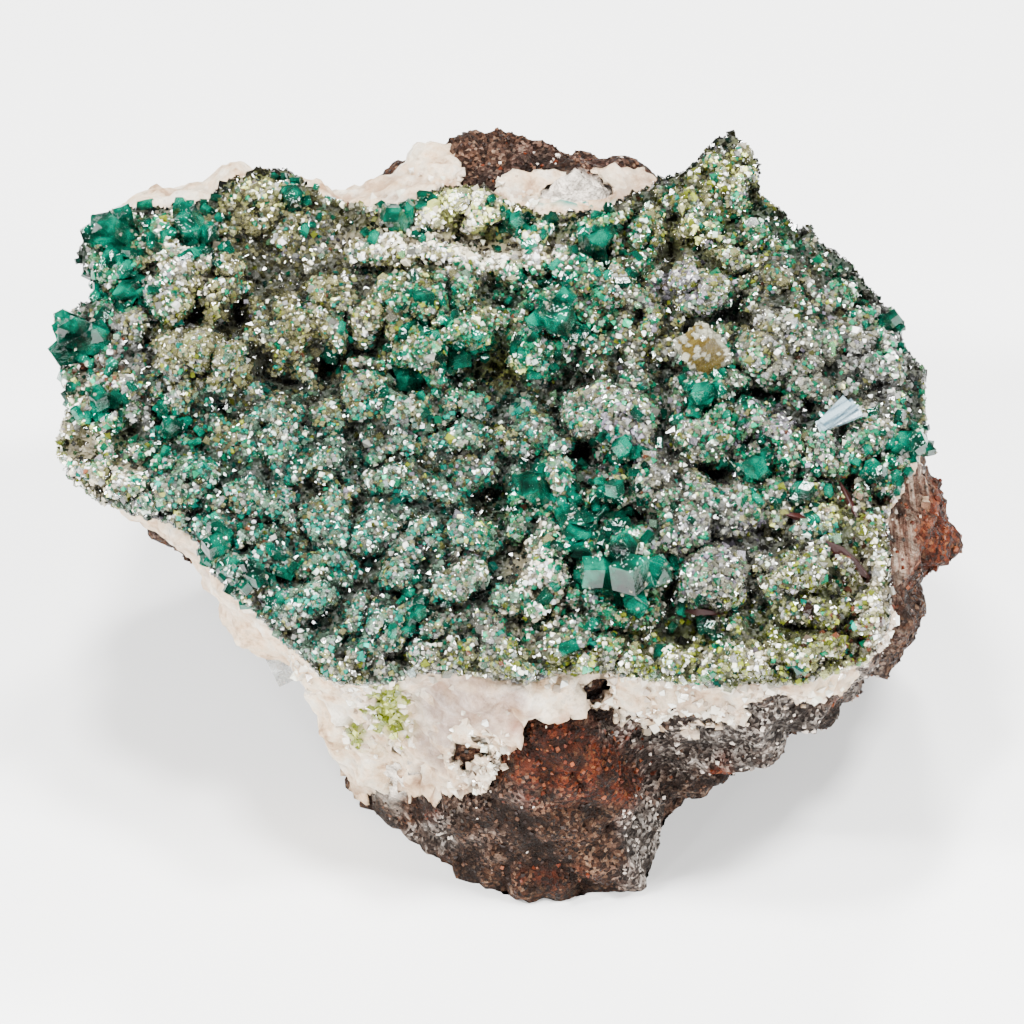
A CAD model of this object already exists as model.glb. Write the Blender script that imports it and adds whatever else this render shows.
"""The looks of a calcite hand specimen: rough rock, white calcite vein, sparkling druse and dioptase."""

import math
from functools import partial

import bmesh
import bpy
import numpy as np
from mathutils import Matrix, Vector, noise
from mathutils.bvhtree import BVHTree
from mathutils.kdtree import KDTree


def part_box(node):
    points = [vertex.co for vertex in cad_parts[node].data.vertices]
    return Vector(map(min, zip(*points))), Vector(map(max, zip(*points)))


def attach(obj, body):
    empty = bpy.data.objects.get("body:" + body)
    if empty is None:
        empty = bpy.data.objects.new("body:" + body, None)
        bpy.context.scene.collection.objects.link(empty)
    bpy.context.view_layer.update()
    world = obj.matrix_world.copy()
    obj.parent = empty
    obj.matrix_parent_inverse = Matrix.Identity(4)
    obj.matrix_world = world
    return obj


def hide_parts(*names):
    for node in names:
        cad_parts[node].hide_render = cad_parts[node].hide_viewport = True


MM = 0.001
TAU = 2 * math.pi
NOISE_SEED, CHANCE_SEED = 3, 11
CUBE_CORNERS = tuple((x, y, z) for x in (-1, 1) for y in (-1, 1) for z in (-1, 1))
POINTED_CORNERS = ((1, 0, 0), (-1, 0, 0), (0, 1, 0), (0, -1, 0), (0, 0, 1), (0, 0, -1))
# Shapes of grains: how many, their corners, and the corners' distance and jitter
GRAIN_FORMS = ((10, POINTED_CORNERS, 0.56, 0.15), (4, CUBE_CORNERS, 0.36, 0.12))

# The face frame, as the solids use it: u to the right, v up the face and n out of it, in millimetres
FACE_RISE = math.radians(40)
BASE_MIDDLE_U, BASE_MIDDLE_Y = 4.2, 27.8
RISE_SIN, RISE_COS = math.sin(FACE_RISE), math.cos(FACE_RISE)
FACE_LOW = (-47.0, 20.0)
FACE_HIGH = (43.0, 79.0)
ABOVE = 60.0  # a height n clear of every piece

# The camera looks down the n axis from far off
VIEW_MIDDLE = (0.2, 39.1, 0.0)
VIEW_WIDTH = 102.4
LENS, SENSOR = 300.0, 36.0

# The druse
CRUST_STEP = 0.36  # spacing of the crust's surface points
CLUSTER_SIZE, CLUSTER_RISE = 5.6, 2.4
KNOT_SIZE, KNOT_RISE = 2.5, 1.1
CELL_RADIUS = 0.75  # a cluster's or knot's radius as a share of its cell
GROOVE_WIDTH, GROOVE_DEPTH = 0.22, 0.5  # of the groove between two clusters, as shares
CLUSTER_SLICE, KNOT_SLICE = Vector((0, 0, 0.3)), Vector((0, 0, 5.3))
CLUSTER_BENDS = ((3.0, 6), (1.2, 2.3))  # distance and size of the waves that bend the clusters
CLUSTER_LEVEL = 1.5
CLUSTER_MEAN, CLUSTER_SWING, SWING_SIZE = 0.7, 1.3, 9  # how much clusters differ over the face
GAP_DEPTH, GAP_SIZE, GAP_START = 4.2, 2.1, 0.2
SWELL, SWELL_SIZE = 1.5, 4.2
FORM_BENDS, FORM_SLICE = ((1.3, 4), (0.6, 1.5)), 3.7
LUMP_RISE = 1.4  # how much higher the named lumps stand than their table says
FORM_FALL, FORM_SHARPNESS = 0.9, 1.5  # how fast lumps fall off, and how steep their sides are
CRUST_SKIRT = 3.0  # how far the crust's rim goes down into the vein
# Fine grains on the larger crystals: how many for each square millimetre of height, how strongly
# they keep to the foot, and their sizes
DUST = {
    "dioptase": (0.8, 1.5, (0.26, 0.5)),
    "ochre": (16.0, 6.0, (0.45, 1.0)),
    "calcite": (10.0, 6.0, (0.4, 0.8)),
}
DEEPEST = -2.7  # how far a hollow can sink into the crust
EDGE_STEPS = 5  # steps of the grid over which the relief fades out at the rim
NEAR_BLUR, FAR_BLUR = 3, 40  # how many times the depth is averaged to tell lumps from gaps
LEVEL_SHADE, FAR_STAND_SHARE = 0.55, 0.36
GRAIN_COUNT, QUICK_GRAIN_COUNT = 55000, 6000
GRAIN_SIZES = (0.30, 0.68)
BIG_GRAIN_SHARE, BIG_GRAIN_GROWTH = 0.06, 1.8
GRAIN_LIFT = 0.12  # how far a grain stands out of the ground, as a share of its size
ZONE_STRENGTH, ZONE_FALL = 2.2, 1.3  # of each zone's middle, and how fast it fades outwards
PATCHINESS, PATCH_SIZE = 1.8, 3.2  # how much the kinds of growth gather in small patches
KIND_GAP = 7.3  # sets the noise of one kind apart from the next
BRIGHTNESS_SPREAD = 0.6
DEEP_BRIGHTNESS, OPEN_BRIGHTNESS, OPEN_POWER = 0.04, 0.86, 1.2
PALEST = 0.95
# White grains: their share, how it runs from deep to open places, and their colour from the clear
# grains' one
WHITE_SHARE, DEEP_WHITE, OPEN_WHITE = 0.085, 0.2, 1.4
WHITE_BASE, WHITE_TINT = 0.5, 0.48
GRAINS_A_PIECE = 14000
THINNEST = 0.15  # how much of the open crust's cover of grains its deepest gaps keep
CLOSEST = 0.378  # the least distance between grains, as a share of a grain's size
GRAIN_LEAN, LOOSE_LEAN = 0.7, 0.9  # how far grains lean from the surface's normal
# Least and most brightness of fine grains, loose grains and splinters
FINE_SHADES, LOOSE_SHADES, SLIVER_SHADES = (0.5, 1.1), (0.6, 1.4), (0.6, 1.3)
SEARCH_CELL = 0.4

# Lumps and hollows of the druse: u, v, radius along u, radius along v, height (hollows below zero)
FORMS = (
    (-38.0, 66.5, 5.0, 5.0, 1.6), (-26.0, 70.8, 5.0, 3.5, 1.2), (-31.5, 53.3, 4.0, 3.5, 1.6),
    (-33.0, 65.3, 3.2, 3.0, 1.4), (-23.5, 64.0, 6.5, 4.5, -2.6), (-18.0, 67.5, 4.0, 2.5, -1.6),
    (-17.0, 59.0, 4.5, 3.5, 1.3), (-7.0, 57.5, 5.5, 5.0, 2.2), (-27.9, 58.4, 1.6, 1.8, -3.4),
    (-31.9, 57.2, 1.2, 1.2, -2.6), (-18.5, 52.8, 1.4, 3.4, -3.0), (-22.5, 51.6, 1.9, 1.3, -2.8),
    (-25.5, 54.3, 1.4, 2.0, -2.4), (-4.0, 53.6, 3.4, 2.0, -3.4), (-2.5, 65.8, 4.0, 1.0, -3.6),
    (-9.0, 64.6, 5.0, 1.0, 1.6), (-2.4, 55.4, 2.4, 2.6, -2.2), (0.1, 54.2, 2.0, 1.8, 1.2),
    (18.4, 61.6, 3.0, 2.8, 1.9), (10.2, 59.0, 4.8, 3.8, 1.2), (18.4, 65.0, 2.8, 1.1, -2.6),
    (21.4, 58.2, 3.0, 1.0, -2.6), (16.6, 57.2, 2.6, 1.4, -1.6), (26.0, 54.0, 5.0, 4.2, 1.6),
    (32.7, 53.9, 1.1, 1.1, -1.8), (37.1, 54.9, 2.2, 2.0, 1.6), (35.0, 52.6, 1.6, 1.0, -1.8),
    (27.9, 49.0, 2.6, 1.3, -2.8), (24.5, 50.6, 1.5, 0.8, -1.8), (10.5, 47.8, 3.9, 2.4, 2.2),
    (19.6, 46.0, 3.0, 3.0, 1.9), (24.9, 47.6, 2.3, 2.2, 1.5), (29.0, 46.2, 3.2, 2.6, 1.5),
    (7.7, 44.0, 2.4, 1.5, -3.0), (15.2, 47.0, 1.0, 3.0, -2.4), (20.7, 42.6, 1.8, 0.8, -2.6),
    (12.2, 42.8, 0.9, 2.4, -2.6), (14.6, 41.6, 2.1, 3.0, 1.9), (18.6, 41.2, 1.8, 1.8, 1.5),
    (3.4, 42.7, 2.5, 1.6, 1.7), (25.5, 63.4, 3.0, 2.4, 1.2), (18.1, 67.7, 1.8, 1.8, 1.2),
    (21.5, 66.2, 1.8, 1.6, 1.0), (16.2, 67.2, 0.8, 2.4, -2.0), (30.0, 67.1, 1.9, 1.6, 1.2),
    (-15.2, 46.8, 4.0, 2.0, -1.6), (-15.6, 39.2, 1.5, 1.2, -1.6), (-1.6, 39.8, 2.8, 1.5, -2.8),
    (-0.3, 34.5, 1.8, 2.6, -2.8), (-11.7, 30.4, 2.0, 1.1, -2.2), (-21.7, 32.5, 2.6, 0.9, -1.8),
    (4.2, 34.2, 1.6, 3.2, 2.0), (1.2, 39.6, 1.3, 2.2, 1.3), (-9.4, 36.9, 4.0, 2.0, 0.9),
    (-21.1, 30.9, 2.6, 1.8, 1.0), (-8.7, 31.0, 2.0, 1.6, 1.2), (-4.8, 32.3, 2.4, 1.8, 1.2),
    (-29.9, 37.9, 1.7, 1.5, 1.0), (10.4, 38.6, 1.8, 1.3, -2.8), (21.8, 40.0, 2.6, 1.5, 1.2),
    (23.6, 39.2, 1.4, 1.2, 1.3), (16.0, 37.2, 5.0, 1.5, 1.4), (25.6, 36.4, 3.6, 1.3, -2.6),
    (18.4, 33.6, 2.6, 2.6, 1.8), (15.3, 32.2, 0.8, 2.6, -2.8), (27.2, 32.8, 4.2, 2.2, 1.4),
    (25.4, 29.8, 2.4, 1.6, -2.8), (28.4, 27.2, 2.4, 1.0, -1.8), (17.0, 27.0, 4.4, 1.0, -1.8),
    (13.8, 28.4, 1.2, 1.0, -1.8), (33.7, 41.6, 0.8, 1.5, -2.4), (36.9, 40.2, 0.9, 0.9, -2.0),
    (-40.0, 50.4, 3.0, 2.6, 1.2), (-37.6, 46.4, 3.0, 1.0, -2.2), (-36.5, 51.5, 2.4, 2.2, 1.0),
    (-41.0, 59.5, 3.4, 3.4, 1.2), (-10.4, 49.6, 1.8, 1.4, 1.4), (-5.0, 46.0, 2.4, 1.6, 0.9),
    (-4.0, 69.3, 6.0, 2.2, 1.2), (1.0, 49.5, 6.0, 4.0, -1.1),
)

# What grows where on the face: u, v, radius along u, radius along v, strength, kind
ZONES = (
    (-24.0, 46.0, 17.0, 9.0, 1.0, "teal"), (-12.0, 34.0, 16.0, 7.0, 1.0, "teal"),
    (-26.0, 36.0, 9.0, 5.0, 1.2, "teal"), (-15.0, 27.0, 8.0, 5.0, 0.8, "teal"),
    (-2.0, 48.0, 9.0, 7.0, 0.8, "teal"), (-8.0, 57.0, 8.0, 6.0, 1.3, "green"),
    (4.0, 58.0, 6.0, 7.0, 1.4, "green"), (9.0, 33.0, 9.0, 7.0, 1.5, "green"),
    (4.0, 40.0, 6.0, 5.0, 1.2, "green"), (-40.0, 62.0, 7.0, 8.0, 1.2, "green"),
    (-41.0, 50.0, 4.0, 5.0, 1.0, "green"), (-33.0, 68.0, 5.0, 3.0, 1.0, "green"),
    (-33.0, 45.0, 8.0, 4.0, 0.8, "green"), (2.0, 68.0, 9.0, 3.0, 0.8, "green"),
    (10.0, 66.0, 7.0, 3.0, 1.0, "green"), (22.0, 49.0, 8.0, 5.0, 1.0, "green"),
    (27.0, 43.0, 8.0, 4.0, 1.0, "green"), (37.0, 45.0, 5.0, 5.0, 1.2, "green"),
    (28.0, 68.0, 9.0, 5.0, 0.9, "green"), (36.0, 58.0, 6.0, 5.0, 0.7, "green"),
    (20.0, 58.0, 6.0, 8.0, 0.6, "green"), (14.0, 26.0, 9.0, 3.0, 0.4, "green"),
    (-22.0, 60.0, 13.0, 9.0, 1.3, "olive"), (-26.0, 68.0, 6.0, 5.0, 1.2, "olive"),
    (-31.0, 55.0, 6.0, 6.0, 0.9, "olive"), (16.0, 62.0, 9.0, 7.0, 0.8, "olive"),
    (-3.5, 69.5, 7.0, 2.8, 7.0, "lime"), (-4.5, 69.0, 6.0, 2.2, 6.0, "cream"),
    (-41.5, 55.4, 2.6, 2.4, 1.8, "white"), (-43.0, 47.0, 2.6, 5.0, 1.8, "cream"),
    (-40.0, 43.6, 4.0, 1.8, 1.2, "cream"), (-40.5, 46.0, 3.0, 3.0, 1.0, "lime"),
    (24.0, 74.0, 3.0, 3.0, 1.2, "lime"), (19.0, 66.5, 3.0, 2.6, 1.0, "lime"),
    (-0.5, 54.5, 2.4, 2.6, 1.4, "lime"), (-25.0, 72.0, 4.0, 2.0, 1.2, "lime"),
    (22.0, 24.6, 8.0, 1.2, 1.6, "cream"), (36.0, 30.0, 2.0, 6.0, 2.2, "cream"),
    (30.0, 38.5, 4.0, 2.0, 1.2, "lime"), (30.8, 37.3, 2.4, 0.8, 5.0, "teal"),
    (-9.5, 66.0, 5.0, 1.2, 7.0, "cream"), (0.0, 65.2, 5.0, 1.1, 7.0, "cream"),
    (-32.8, 64.6, 3.2, 4.0, 1.2, "cream"), (-43.0, 50.0, 2.2, 6.0, 1.6, "cream"),
    (-33.5, 56.0, 3.0, 4.0, 0.8, "yellow"), (-7.0, 57.5, 6.0, 5.0, 0.5, "yellow"),
    (18.0, 66.0, 6.0, 6.0, 0.9, "yellow"), (24.0, 73.0, 5.0, 5.0, 0.8, "yellow"),
    (26.0, 25.0, 13.0, 4.5, 2.2, "yellow"), (33.0, 30.0, 7.0, 7.0, 1.0, "yellow"),
    (12.0, 23.5, 10.0, 2.8, 1.8, "yellow"), (-4.0, 24.5, 9.0, 2.0, 0.7, "yellow"),
    (-43.0, 47.0, 4.0, 4.0, 0.8, "yellow"), (33.0, 36.0, 6.0, 5.0, 0.6, "yellow"),
    (28.0, 56.0, 9.0, 8.0, 0.9, "grey"), (13.0, 47.0, 8.0, 6.0, 1.1, "grey"),
    (24.0, 38.0, 9.0, 7.0, 1.2, "grey"), (19.0, 33.0, 6.0, 6.0, 1.0, "grey"),
    (-5.0, 26.0, 12.0, 5.0, 0.5, "grey"), (33.0, 48.0, 6.0, 5.0, 0.6, "grey"),
    (18.0, 62.0, 3.5, 3.5, 1.2, "lilac"), (25.0, 47.0, 4.0, 3.0, 0.9, "lilac"),
    (12.0, 46.5, 4.0, 3.0, 0.8, "lilac"), (20.0, 36.0, 4.0, 4.0, 0.7, "lilac"),
    (3.0, 32.0, 2.5, 4.5, 2.0, "cream"), (-38.0, 58.0, 4.0, 5.0, 1.0, "white"),
    (-37.5, 51.5, 4.0, 5.0, 1.2, "white"), (37.0, 55.0, 4.0, 4.0, 1.8, "white"),
    (23.0, 75.0, 4.0, 3.0, 0.8, "white"), (34.0, 27.0, 5.0, 5.0, 0.5, "rust"),
    (-41.0, 53.5, 2.2, 2.0, 1.8, "rust"), (35.0, 40.0, 5.0, 4.0, 0.5, "rust"),
    (24.0, 39.0, 6.0, 4.0, 0.9, "white"), (35.5, 48.0, 4.0, 4.0, 0.8, "white"),
)
ZONE_FLOOR = {"teal": 0.25, "green": 0.20, "olive": 0.35, "grey": 0.35, "yellow": 0.10, "lime": 0.02,
              "cream": 0.04, "lilac": 0.05, "white": 0.12, "rust": 0.02}
# For each kind: the colour of its deep ground, of its coloured grains and of its clear ones,
# and the share of clear grains; the shade of the place darkens them, so pale kinds start above one
KINDS = {
    "teal": ((0.003, 0.012, 0.009), (0.0005, 0.125, 0.088), (0.36, 0.60, 0.42), 0.58),
    "green": ((0.002, 0.016, 0.008), (0.0005, 0.120, 0.056), (0.28, 0.62, 0.30), 0.38),
    "olive": ((0.014, 0.013, 0.005), (0.085, 0.085, 0.026), (0.66, 0.62, 0.30), 0.75),
    "grey": ((0.012, 0.012, 0.009), (0.13, 0.13, 0.11), (0.68, 0.66, 0.50), 0.80),
    "yellow": ((0.030, 0.036, 0.003), (0.12, 0.14, 0.012), (0.68, 0.70, 0.34), 0.60),
    "lime": ((0.16, 0.17, 0.03), (0.86, 0.92, 0.26), (1.15, 1.18, 0.66), 0.40),
    "cream": ((0.34, 0.28, 0.17), (1.40, 1.26, 0.92), (1.35, 1.28, 1.00), 0.30),
    "lilac": ((0.040, 0.033, 0.045), (0.24, 0.21, 0.27), (0.70, 0.65, 0.74), 0.70),
    "white": ((0.06, 0.06, 0.05), (0.60, 0.61, 0.55), (0.84, 0.85, 0.80), 0.75),
    "rust": ((0.015, 0.006, 0.003), (0.06, 0.020, 0.010), (0.50, 0.36, 0.26), 0.30),
}

# Rock and vein. Waves, ledges and steps have a height and a size.
ROCK_BENDS, VEIN_BENDS = ((2.0, 6),), ((1.6, 5),)
ROCK_LEDGES, VEIN_STEPS = ((2.4, 8), (1.6, 3.8)), ((1.8, 6), (1.0, 2.6))
ROCK_SPLINTERS = (0.8, (1.7, 3.2, 1.4))
ROCK_PITS, ROCK_GRAIN, ROCK_LEVEL = (0.35, 1.25), (0.32, 0.75), 1.4
VEIN_NUGGET_SIZE, VEIN_GRAIN, VEIN_LEVEL = 1.9, (0.2, 0.7), 0.65
NUGGET_RISE, NUGGET_EDGE, NUGGET_DOME = 0.5, 0.4, 0.3
ROCK_VOXEL, VEIN_VOXEL = 0.66, 0.62
BASE_BAND = 0.4  # height up to which the base stays flat
# Patches on the rock and the vein, seen from the front: u, v, radius along u, radius along v, strength
RUST_PATCHES = (
    (5.2, 14.6, 4.8, 3.6, 1.6), (11.0, 12.6, 2.8, 2.4, 1.1), (4.3, 2.6, 3.4, 1.0, 0.5),
    (43.0, 37.6, 2.8, 3.8, 1.3), (39.5, 33.8, 1.3, 4.2, 0.6), (21.1, 13.1, 1.0, 1.0, 1.0),
    (5.0, 74.6, 7.0, 1.8, 0.3), (-9.0, 9.0, 1.4, 1.0, 0.4), (32.0, 20.0, 2.0, 0.8, 0.5),
)
GREY_PATCHES = (
    (19.0, 15.8, 5.6, 3.2, 1.0), (26.0, 18.3, 5.2, 3.0, 1.0), (33.0, 22.3, 4.2, 3.0, 0.9),
    (13.6, 11.8, 1.6, 3.2, 0.8), (13.8, 4.8, 2.0, 3.8, 1.2), (-8.0, 7.0, 4.6, 2.2, 0.45),
    (38.5, 40.0, 1.6, 5.0, 0.9), (1.0, 11.0, 5.0, 1.0, 0.35), (10.5, 17.0, 1.6, 1.8, 0.8),
    (5.0, 74.6, 7.0, 1.8, 0.25),
)
ROSE_PATCHES = (
    (-4.7, 20.2, 5.8, 3.6, 1.1), (-6.0, 15.0, 3.5, 3.0, 0.8), (11.0, 71.3, 5.0, 1.6, 0.5),
    (19.0, 19.6, 5.0, 2.2, 0.6), (-30.0, 33.0, 3.0, 4.0, 0.35), (27.0, 22.4, 4.0, 1.6, 0.4),
    (38.0, 38.0, 2.0, 8.0, 0.7),
)
YELLOW_PATCHES = (
    (-11.9, 19.2, 1.8, 2.3, 1.6), (-15.5, 16.8, 1.1, 1.0, 1.3), (-1.0, 24.8, 2.4, 0.7, 0.8),
    (8.0, 24.0, 4.0, 0.8, 0.6), (24.0, 24.5, 5.0, 1.0, 0.7), (-27.5, 34.5, 1.0, 2.0, 0.6),
)
HOLLOW_PATCHES = (
    (-4.0, 15.1, 2.2, 1.9, 1.1), (8.6, 22.4, 0.9, 1.3, 1.1), (9.0, 19.0, 1.1, 0.8, 1.1),
    (17.0, 24.1, 2.2, 1.2, 1.3), (23.2, 23.2, 0.9, 0.8, 1.2), (-4.0, 10.1, 1.2, 1.6, 0.8),
    (-15.0, 17.6, 1.2, 0.7, 0.7), (-8.6, 12.4, 0.7, 1.2, 0.8),
)
LAYER_PATCHES = (
    (39.3, 46.5, 1.6, 3.4, 1.2), (39.0, 41.5, 2.2, 3.4, 1.3), (38.2, 36.5, 1.8, 3.4, 1.3),
    (38.0, 31.5, 1.5, 3.4, 1.2), (37.0, 27.5, 1.3, 2.8, 0.9),
)
CHALK_PATCHES = ((6.5, 70.8, 4.0, 1.5, 2.0), (-11.4, 14.4, 2.4, 3.0, 2.0))
TEAL_PATCHES = ((6.2, 70.8, 3.0, 0.45, 2.0), (-6.5, 24.1, 2.6, 0.4, 1.6), (-12.4, 23.2, 2.0, 0.4, 1.2))
NUGGET_PATCHES = (
    (-2.8, 14.4, 2.4, 2.6, 1.0), (-13.6, 21.6, 2.2, 1.2, 1.2), (13.0, 16.4, 3.2, 3.4, 0.7),
    (24.0, 20.0, 8.0, 2.4, 0.5), (10.0, 23.6, 14.0, 1.0, 1.0), (-4.0, 70.5, 6.0, 2.5, 0.5),
    (-17.0, 24.0, 3.0, 1.4, 0.8), (36.5, 35.0, 2.0, 9.0, 0.8),
)
# Layers in the rock: their angles from the u axis, at the right edge and elsewhere
EDGE_LAYERS_LEAN, ROCK_LAYERS_LEAN = math.radians(95), math.radians(-24)
PATCH_FALL, PATCH_SHARPNESS = 0.8, 1.2
COARSE_RAGS, FINE_RAGS = 2.2, 0.9  # sizes of the ragged edges of patches
RAG_SHARE, FINE_RAG_SHARE = 0.7, 0.7
FRONT_SLOPE, FRONT_LEVEL = 3, 0.6  # how fast patches fade on sides that face away
HOLLOW_DEPTH, CREVICE_DEPTH, CHALK_RISE = 1.5, 0.7, 0.8
GRIT_COUNT, GRIT_SIZES = 9000, (0.24, 0.55)
HIDDEN_GRIT = 0.3  # the share of grit on sides that face away
BARE_FOOT = 1.2  # height above the ground without loose grains
NUGGET_COUNT, NUGGET_SIZES = 1400, (0.4, 1.1)

# Small green crystals: the ring around a clump that they keep to, in radii of the clump, the least
# odds of a place there, and how far they stand out, as a share of their size. The ring's width,
# their number and their largest size have a fixed part and one that grows with the radius.
RING_RADIUS, LEAST_ODDS, SMALL_LIFT = 1.25, 0.1, 0.3
RING_WIDTH, SMALL_COUNT = (0.8, 0.35), (8, 5)
SMALLEST, SMALL_SIZE = 0.5, (0.9, 0.14)
# Their shapes: least and most half length, and how far the tip and the edges around it stand out
PRISM_HALVES = (0.35, 0.7)
PRISM_TIP, PRISM_EDGES = 0.22, (-0.05, 0.14)

# Splinters in the crust: u and v of both ends, and width
SLIVERS = (
    (31.0, 36.2, 35.4, 32.6, 1.3), (32.7, 42.0, 34.2, 38.6, 0.8), (17.2, 29.4, 21.2, 29.1, 0.7),
    (27.0, 38.9, 29.4, 38.4, 0.6),
)
SLIVER_COLOUR = (0.020, 0.0035, 0.0025)
SLIVER_PROFILE = ((0.0, 0.15), (0.3, 0.9), (0.65, 1.0), (1.0, 0.2))  # shares of length and width
SLIVER_LIFT, SLIVER_THICKNESS, SLIVER_JITTER = 0.5, 1.6, 0.12

BLADE_LEAN = math.radians(31)  # of the pale blade's streaks from the u axis

# Softboxes around the specimen: place in millimetres and power in watts
SOFTBOXES = (
    (-250, -120, 330, 3.7), (-70, -20, 450, 3.5), (150, -60, 420, 3.3), (340, -140, 240, 2.8),
    (-330, -260, 120, 1.5), (130, -390, 110, 1.8), (60, 260, 380, 2.6), (-230, -350, 60, 1.8),
)
SOFTBOX_SIZE = (62, 62)
LIGHTS_AIM = (0, 5, 25)
AMBIENT, AMBIENT_COLOUR = 0.20, (0.95, 0.97, 1.0, 1.0)
FLOOR_HALF_WIDTH = 3.0  # metres


def place(points):
    """Rows of u, v, n in millimetres as rows of points of the object in metres."""
    points = np.asarray(points, float).reshape(-1, 3)
    u, v, n = points.T
    y = v * RISE_SIN - n * RISE_COS - BASE_MIDDLE_Y
    z = v * RISE_COS + n * RISE_SIN
    return np.stack([u - BASE_MIDDLE_U, y, z], axis=1) * MM


def at(u, v, n):
    """One point of the face as a vector in metres."""
    return Vector(place((u, v, n))[0])


def face_coordinates(points):
    """Points of the object in metres as rows of u, v, n in millimetres."""
    x, y, z = (np.asarray(points, float).reshape(-1, 3) / MM).T
    y = y + BASE_MIDDLE_Y
    return np.stack([x + BASE_MIDDLE_U, y * RISE_SIN + z * RISE_COS, z * RISE_SIN - y * RISE_COS], axis=1)


def face_turn():
    """The rotation from the face frame to the object's."""
    return Matrix(((1, 0, 0), (0, RISE_SIN, -RISE_COS), (0, RISE_COS, RISE_SIN)))


def build_mesh(name, verts, triangles, tints=None, smooth=False):
    """A new object from arrays of points and triangles, with an optional colour for each point."""
    mesh = bpy.data.meshes.new(name)
    mesh.vertices.add(len(verts))
    mesh.vertices.foreach_set("co", np.asarray(verts, np.float32).ravel())
    mesh.loops.add(3 * len(triangles))
    mesh.loops.foreach_set("vertex_index", np.asarray(triangles, np.int32).ravel())
    mesh.polygons.add(len(triangles))
    mesh.polygons.foreach_set("loop_start", np.arange(0, 3 * len(triangles), 3, dtype=np.int32))
    mesh.update(calc_edges=True)
    mesh.validate()
    if tints is not None:
        colours = mesh.color_attributes.new("tint", "FLOAT_COLOR", "POINT")
        rgba = np.concatenate([tints, np.ones((len(tints), 1))], axis=1)
        colours.data.foreach_set("color", rgba.astype(np.float32).ravel())
    if smooth:
        mesh.shade_smooth()
    else:
        mesh.shade_flat()
    obj = bpy.data.objects.new(name, mesh)
    bpy.context.scene.collection.objects.link(obj)
    return obj


def welded(node):
    """A node's mesh with its corners joined, as a bmesh."""
    mesh = bmesh.new()
    mesh.from_mesh(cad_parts[node].data)
    bmesh.ops.remove_doubles(mesh, verts=mesh.verts, dist=1e-6)
    return mesh


def wear(obj, material, slot, *replaced):
    """Gives a piece its material and its place in the frame."""
    obj.data.materials.clear()
    obj.data.materials.append(material)
    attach(obj, "root")
    if replaced:
        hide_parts(*replaced)


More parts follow.
